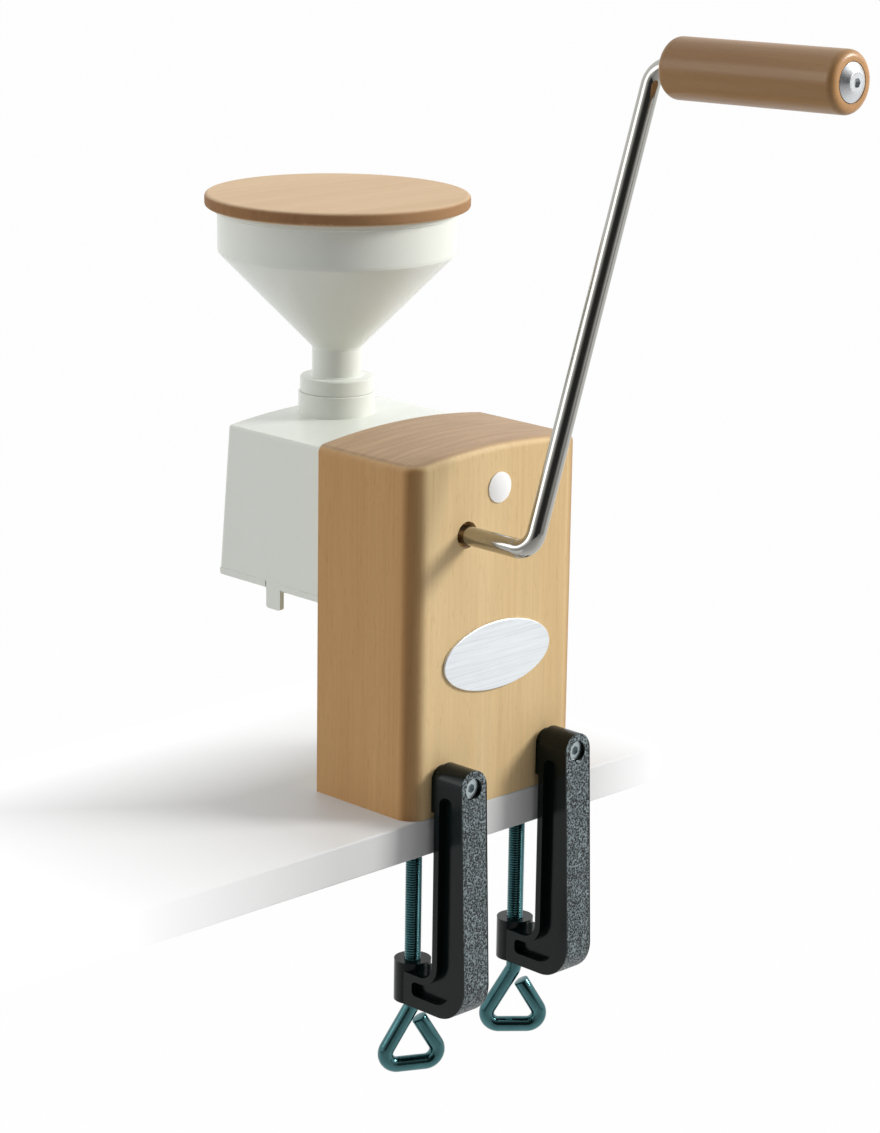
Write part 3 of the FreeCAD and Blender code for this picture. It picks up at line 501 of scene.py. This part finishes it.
class Workshop:
    """Builds each finish once and turns finished meshes into pieces."""

    def __init__(self) -> None:
        """Start with no finishes built."""
        self.built: dict[str, bpy.types.Material] = {}

    def finish(self, finish: Any) -> bpy.types.Material:
        """Material of a finish.

        Args:
            finish: one of the finishes above.

        Returns:
            The material, built the first time it is asked for.
        """
        if finish.name not in self.built:
            self.built[finish.name] = finish.build()
        return self.built[finish.name]

    def dress_nodes(self, nodes: dict[str, bpy.types.Object]) -> None:
        """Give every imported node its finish.

        Args:
            nodes: the frame's node objects by name.
        """
        for name, obj in nodes.items():
            material = self.finish(NODE_FINISHES[name])
            for slot in obj.material_slots:
                slot.material = material
            if not obj.material_slots:
                obj.data.materials.append(material)
        log.info("dressed %d nodes", len(nodes))

    def piece(self, name: str, mesh: bmesh.types.BMesh, finish: Any, body: str,
              smooth: float = 35.0) -> bpy.types.Object:
        """Turn a mesh into a piece that rides on a body.

        Args:
            name: name of the piece.
            mesh: its geometry, in place; it is freed here.
            finish: its finish.
            body: body that it moves with.
            smooth: edges sharper than this many degrees stay crisp.

        Returns:
            The new object.
        """
        bmesh.ops.recalc_face_normals(mesh, faces=mesh.faces)
        for face in mesh.faces:
            face.smooth = True
        for edge in mesh.edges:
            if len(edge.link_faces) == 2 and edge.calc_face_angle() > math.radians(smooth):
                edge.smooth = False
        data = bpy.data.meshes.new(name)
        mesh.to_mesh(data)
        mesh.free()
        obj = bpy.data.objects.new(name, data)
        bpy.context.scene.collection.objects.link(obj)
        data.materials.append(self.finish(finish))
        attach(obj, body)
        log.info("built %s with %d faces", name, len(data.polygons))
        return obj


@dataclass
class ClampScrew:
    """Threaded rod with its lower end bent into a triangular finger loop."""

    side: str
    x: float
    heading: float
    y: float = -14.5 * MM
    crest: float = 3.97 * MM
    root: float = 3.42 * MM
    pitch: float = 1.25 * MM
    top: float = -24.5 * MM
    low: float = -97.5 * MM
    tip_radius: float = 2.6 * MM
    tip_top: float = -20.7 * MM
    wire: float = 3.8 * MM
    bend: float = 6.0 * MM
    route: tuple[tuple[float, float], ...] = (
        (0.0, -97.0), (0.0, -100.7), (-17.4, -130.7), (17.4, -130.7), (3.6, -107.6))

    def thread(self) -> bmesh.types.BMesh:
        """Rod with a real helix, cut flat and closed at both ends.

        Returns:
            The mesh, on the Z axis.
        """
        mesh = bmesh.new()
        turns = math.ceil((self.top - self.low) / self.pitch) + 3
        start = self.low - 1.5 * self.pitch
        flat = self.pitch * 0.12
        profile = [(self.root, 0.0), (self.crest, self.pitch * 0.5 - flat),
                   (self.crest, self.pitch * 0.5 + flat), (self.root, self.pitch)]
        points = [mesh.verts.new((r, 0.0, start + z)) for r, z in profile]
        edges = [mesh.edges.new(pair) for pair in zip(points, points[1:])]
        steps = 20
        bmesh.ops.spin(mesh, geom=points + edges, axis=(0, 0, 1), cent=(0, 0, 0),
                       dvec=(0, 0, self.pitch / steps), angle=math.tau * turns,
                       steps=steps * turns)
        bmesh.ops.remove_doubles(mesh, verts=mesh.verts, dist=1e-6)
        for height, outward in ((self.top, 1.0), (self.low, -1.0)):
            cut = bmesh.ops.bisect_plane(
                mesh, geom=mesh.verts[:] + mesh.edges[:] + mesh.faces[:], dist=1e-7,
                plane_co=(0, 0, height), plane_no=(0, 0, outward), clear_outer=True)
            rim = [e for e in cut["geom_cut"] if isinstance(e, bmesh.types.BMEdge)]
            bmesh.ops.holes_fill(mesh, edges=rim, sides=0)
        return mesh

    def tip(self, mesh: bmesh.types.BMesh) -> None:
        """Add the plain tip that turns in the pad.

        Args:
            mesh: mesh to add to.
        """
        height = self.tip_top - self.top + 1.0 * MM
        made = bmesh.ops.create_cone(mesh, cap_ends=True, segments=32, radius1=self.tip_radius,
                                     radius2=self.tip_radius, depth=height)
        bmesh.ops.translate(mesh, verts=made["verts"],
                            vec=(0, 0, self.tip_top - height / 2.0))

    def draw(self, mesh: bmesh.types.BMesh, rim: list[Any], step: Vector) -> list[Any]:
        """Draw the wire's open end straight on.

        Args:
            mesh: mesh that holds the wire.
            rim: edges of its open end.
            step: how far and where to.

        Returns:
            The edges of the new end.
        """
        made = bmesh.ops.extrude_edge_only(mesh, edges=rim)["geom"]
        verts = [v for v in made if isinstance(v, bmesh.types.BMVert)]
        bmesh.ops.translate(mesh, verts=verts, vec=step)
        return [e for e in made if isinstance(e, bmesh.types.BMEdge)
                and all(v in verts for v in e.verts)]

    def turn(self, mesh: bmesh.types.BMesh, rim: list[Any], centre: Vector,
             angle: float) -> list[Any]:
        """Bend the wire's open end round a centre in the loop's plane.

        Args:
            mesh: mesh that holds the wire.
            rim: edges of its open end.
            centre: middle of the bend.
            angle: turn about the Y axis, in radians.

        Returns:
            The edges of the new end.
        """
        steps = max(4, round(abs(angle) / math.radians(7.5)))
        verts = list({v for e in rim for v in e.verts})
        made = bmesh.ops.spin(mesh, geom=verts + rim, axis=(0, 1, 0), cent=centre,
                              angle=angle, steps=steps)["geom_last"]
        return [e for e in made if isinstance(e, bmesh.types.BMEdge)]

    def loop(self, mesh: bmesh.types.BMesh) -> None:
        """Add the finger loop, bent from the same wire in one run.

        Args:
            mesh: mesh to add to.
        """
        stops = [Vector((x * MM, 0.0, z * MM)) for x, z in self.route]
        made = bmesh.ops.create_circle(mesh, cap_ends=False, segments=28, radius=self.wire)
        bmesh.ops.translate(mesh, verts=made["verts"], vec=stops[0])
        rim = list({e for v in made["verts"] for e in v.link_edges})
        bmesh.ops.holes_fill(mesh, edges=rim, sides=0)
        here = stops[0]
        for corner, after in zip(stops[1:], stops[2:]):
            into = (corner - here).normalized()
            out = (after - corner).normalized()
            angle = into.angle(out)
            reach = self.bend * math.tan(angle / 2.0)
            rim = self.draw(mesh, rim, corner - reach * into - here)
            way = 1.0 if into.cross(out).y > 0.0 else -1.0
            inward = Vector((0.0, way, 0.0)).cross(into)
            centre = corner - reach * into + self.bend * inward
            rim = self.turn(mesh, rim, centre, way * angle)
            here = corner + reach * out
        rim = self.draw(mesh, rim, stops[-1] - here)
        cap = bmesh.ops.holes_fill(mesh, edges=rim, sides=0)["faces"]
        bmesh.ops.bevel(mesh, geom=list({e for f in cap for e in f.edges}), offset=0.0004,
                        affect="EDGES", segments=2, profile=0.5, material=-1)

    def build(self, shop: Workshop) -> None:
        """Build the screw in place of its plain node.

        Args:
            shop: workshop that finishes the piece.
        """
        mesh = self.thread()
        self.tip(mesh)
        self.loop(mesh)
        bmesh.ops.remove_doubles(mesh, verts=mesh.verts, dist=1e-7)
        turn = Matrix.Rotation(math.radians(self.heading), 4, "Z")
        bmesh.ops.transform(mesh, verts=mesh.verts,
                            matrix=Matrix.Translation((self.x, self.y, 0.0)) @ turn)
        obj = shop.piece(f"threaded_screw_{self.side}", mesh, ZINC, f"screw_{self.side}", 28.0)
        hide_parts(f"clamp_screw_{self.side}")


@dataclass
class Table:
    """Pale table board that the clamps grip, and the floor below."""

    front: float = -32.0 * MM
    left: float = -0.34
    right: float = 0.1205
    depth: float = 0.20
    thick: float = 18.0 * MM
    floor: float = -0.42
    paint: Colour = (0.70, 0.71, 0.715)
    floor_grey: float = 0.55
    floor_white: float = 0.98
    fade_from: float = 0.10
    fade_over: float = 0.12
    back_from: float = 0.05
    back_rate: float = 1.4
    right_from: float = 0.058
    right_rate: float = 2.2

    def white(self, g: Graph, shaded: Any, share: Any, gloss: Any = 1.0) -> None:
        """Let the camera and gloss see plain white over part of a surface.

        Args:
            g: the material's graph.
            shaded: socket of the shaded surface.
            share: how much of it is plain white, a value or a socket.
            gloss: how much of that white metal and glass show, a value or a socket.
        """
        bright = g.add("ShaderNodeEmission", {"Color": (1, 1, 1, 1), "Strength": 1.0})
        rays = g.add("ShaderNodeLightPath")
        mirrored = g.math("MAXIMUM", rays.outputs["Is Glossy Ray"],
                          rays.outputs["Is Transmission Ray"])
        seen = g.math("MAXIMUM", rays.outputs["Is Camera Ray"],
                      g.math("MULTIPLY", mirrored, gloss))
        both = g.add("ShaderNodeMixShader", {0: g.math("MULTIPLY", seen, share), 1: shaded,
                                             2: bright.outputs[0]})
        g.tree.links.new(both.outputs[0], g.output.inputs[0])

    def board_paint(self) -> bpy.types.Material:
        """White paint that fades into the background away from the block.

        Returns:
            The material.
        """
        g = Graph("table_white")
        paint = g.add("ShaderNodeBsdfPrincipled", {"Base Color": (*self.paint, 1.0),
                                                   "Roughness": 0.5})
        place = g.position()
        left = g.math("SUBTRACT", g.math("MULTIPLY", place[0], -1.0), self.fade_from)
        back = g.math("MULTIPLY", g.math("SUBTRACT", place[1], self.back_from), self.back_rate)
        right = g.math("MULTIPLY", g.math("SUBTRACT", place[0], self.right_from),
                       self.right_rate)
        edge = g.math("MAXIMUM", g.math("MAXIMUM", left, back), right)
        share = g.math("DIVIDE", edge, self.fade_over)
        self.white(g, paint.outputs[0], g.ramp(share, [(0.0, 0.0), (1.0, 1.0)]))
        return g.material

    def floor_paint(self) -> bpy.types.Material:
        """Floor that is white to the camera, and grey to gloss on the front left.

        Returns:
            The material.
        """
        g = Graph("floor_white")
        grey = (self.floor_grey, self.floor_grey, self.floor_grey, 1.0)
        paint = g.add("ShaderNodeBsdfDiffuse", {"Color": grey})
        place = g.position()
        behind = g.math("ADD", place[0], place[1])
        lit = g.ramp(g.math("ADD", behind, 1.0), [(0.1, 0.04), (0.95, 1.0)])
        self.white(g, paint.outputs[0], self.floor_white, lit)
        return g.material

    def build(self) -> None:
        """Build the board and the floor."""
        mesh = bmesh.new()
        bmesh.ops.create_cube(mesh, size=1.0)
        bmesh.ops.scale(mesh, verts=mesh.verts,
                        vec=(self.right - self.left, self.depth, self.thick))
        bmesh.ops.translate(mesh, verts=mesh.verts,
                            vec=((self.left + self.right) / 2.0, self.front + self.depth / 2.0,
                                 -self.thick / 2.0))
        bmesh.ops.bevel(mesh, geom=mesh.edges[:], offset=0.0008, affect="EDGES", segments=2,
                        profile=0.5, material=-1)
        self.stand("table_board", mesh, self.board_paint())
        mesh = bmesh.new()
        bmesh.ops.create_grid(mesh, x_segments=1, y_segments=1, size=12.0)
        bmesh.ops.translate(mesh, verts=mesh.verts, vec=(0, 0, self.floor))
        self.stand("studio_floor", mesh, self.floor_paint())

    def stand(self, name: str, mesh: bmesh.types.BMesh, material: bpy.types.Material) -> None:
        """Add one object to the scene.

        Args:
            name: its name.
            mesh: its geometry; it is freed here.
            material: its material.
        """
        data = bpy.data.meshes.new(name)
        mesh.to_mesh(data)
        mesh.free()
        obj = bpy.data.objects.new(name, data)
        data.materials.append(material)
        bpy.context.scene.collection.objects.link(obj)


@dataclass
class Studio:
    """World, soft lamps and the camera.

    As a light the world is dim round dim_side, from dim_from to dim_full of the cosine.
    """

    eye: tuple[float, float, float] = (-1.08054, -1.07403, 0.52031)
    yaw: float = 45.01
    pitch: float = 15.16
    roll: float = 0.87
    lens: float = 3336.0 / 880.0 * 36.0
    fill: float = 0.89
    dim_side: tuple[float, float, float] = (-0.62, -0.76, 0.18)
    dim_share: float = 0.02
    dim_from: float = 0.20
    dim_full: float = 0.95
    aim: tuple[float, float, float] = (0.0, 0.02, 0.14)
    key_place: tuple[float, float, float] = (1.35, -1.25, 1.05)
    key_size: float = 0.6
    key_watts: float = 34.0
    key_colour: Colour = (1.0, 0.985, 0.96)
    rim_place: tuple[float, float, float] = (-1.5, 0.9, 0.8)
    rim_size: float = 0.9
    rim_watts: float = 6.0

    def world(self) -> None:
        """White to the camera; as a light, dim on the side the viewer stands."""
        world = bpy.data.worlds.new("studio_world")
        world.use_nodes = True
        tree = world.node_tree
        tree.nodes.clear()

        def add(kind: str, sockets: dict[Any, Any], **fields: Any) -> Any:
            """Add a world node and fill or link its inputs."""
            node = tree.nodes.new(kind)
            for key, value in fields.items():
                setattr(node, key, value)
            for key, value in sockets.items():
                if isinstance(value, bpy.types.NodeSocket):
                    tree.links.new(value, node.inputs[key])
                else:
                    node.inputs[key].default_value = value
            return node

        coords = add("ShaderNodeTexCoord", {})
        toward = add("ShaderNodeVectorMath", {0: coords.outputs["Generated"], 1: self.dim_side},
                     operation="DOT_PRODUCT")
        dim = add("ShaderNodeMapRange",
                  {"Value": toward.outputs["Value"], "From Min": self.dim_from,
                   "From Max": self.dim_full, "To Min": self.fill,
                   "To Max": self.fill * self.dim_share},
                  interpolation_type="SMOOTHSTEP")
        light = add("ShaderNodeBackground", {"Color": (1.0, 0.995, 0.985, 1.0),
                                             "Strength": dim.outputs["Result"]})
        seen = add("ShaderNodeBackground", {"Color": (1.0, 1.0, 1.0, 1.0), "Strength": 1.0})
        rays = add("ShaderNodeLightPath", {})
        gloss = add("ShaderNodeMath", {0: rays.outputs["Is Glossy Ray"],
                                       1: rays.outputs["Is Transmission Ray"]},
                    operation="MAXIMUM")
        lit = add("ShaderNodeMath", {0: dim.outputs["Result"], 1: self.fill}, operation="DIVIDE")
        share = add("ShaderNodeMath", {0: gloss.outputs[0], 1: lit.outputs[0]},
                    operation="MULTIPLY")
        white = add("ShaderNodeMath", {0: rays.outputs["Is Camera Ray"], 1: share.outputs[0]},
                    operation="MAXIMUM")
        mix = add("ShaderNodeMixShader", {0: white.outputs[0], 1: light.outputs[0],
                                          2: seen.outputs[0]})
        add("ShaderNodeOutputWorld", {"Surface": mix.outputs[0]})
        bpy.context.scene.world = world

    def lamp(self, name: str, place: Vector, target: Vector, size: float, watts: float,
             colour: Colour = (1.0, 1.0, 1.0)) -> None:
        """Add one soft square lamp.

        Args:
            name: its name.
            place: where it stands.
            target: what it points at.
            size: edge length.
            watts: its power.
            colour: its colour.
        """
        data = bpy.data.lights.new(name, "AREA")
        data.size = size
        data.energy = watts
        data.color = colour
        obj = bpy.data.objects.new(name, data)
        obj.matrix_world = Matrix.Translation(place) @ (
            target - place).to_track_quat("-Z", "Y").to_matrix().to_4x4()
        bpy.context.scene.collection.objects.link(obj)

    def camera(self) -> None:
        """Stand the camera where the photograph was taken from."""
        yaw, pitch, roll = (math.radians(v) for v in (self.yaw, self.pitch, self.roll))
        ahead = Vector((math.sin(yaw) * math.cos(pitch), math.cos(yaw) * math.cos(pitch),
                        -math.sin(pitch)))
        level = Vector((math.cos(yaw), -math.sin(yaw), 0.0))
        upright = level.cross(ahead)
        right = math.cos(roll) * level + math.sin(roll) * upright
        up = -math.sin(roll) * level + math.cos(roll) * upright
        data = bpy.data.cameras.new("camera")
        data.sensor_fit = "HORIZONTAL"
        data.sensor_width = 36.0
        data.lens = self.lens
        data.clip_end = 30.0
        obj = bpy.data.objects.new("camera", data)
        turn = Matrix((right, up, -ahead)).transposed().to_4x4()
        obj.matrix_world = Matrix.Translation(Vector(self.eye)) @ turn
        bpy.context.scene.collection.objects.link(obj)
        bpy.context.scene.camera = obj

    def build(self) -> None:
        """Build world, lamps and camera."""
        self.world()
        middle = Vector(self.aim)
        self.lamp("key", Vector(self.key_place), middle, self.key_size, self.key_watts,
                  self.key_colour)
        self.lamp("left_rim", Vector(self.rim_place), middle, self.rim_size, self.rim_watts)
        self.camera()
        bpy.context.scene.view_settings.view_transform = "Standard"


def main() -> None:
    """Build the whole scene."""
    logging.basicConfig(level=logging.INFO, format="%(name)s: %(message)s")
    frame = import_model()
    shop = Workshop()
    shop.dress_nodes(frame["nodes"])
    ClampScrew("left", -35.1 * MM, -28.0).build(shop)
    ClampScrew("right", 35.1 * MM, -42.0).build(shop)
    Table().build()
    Studio().build()


if __name__ == "__main__":
    main()
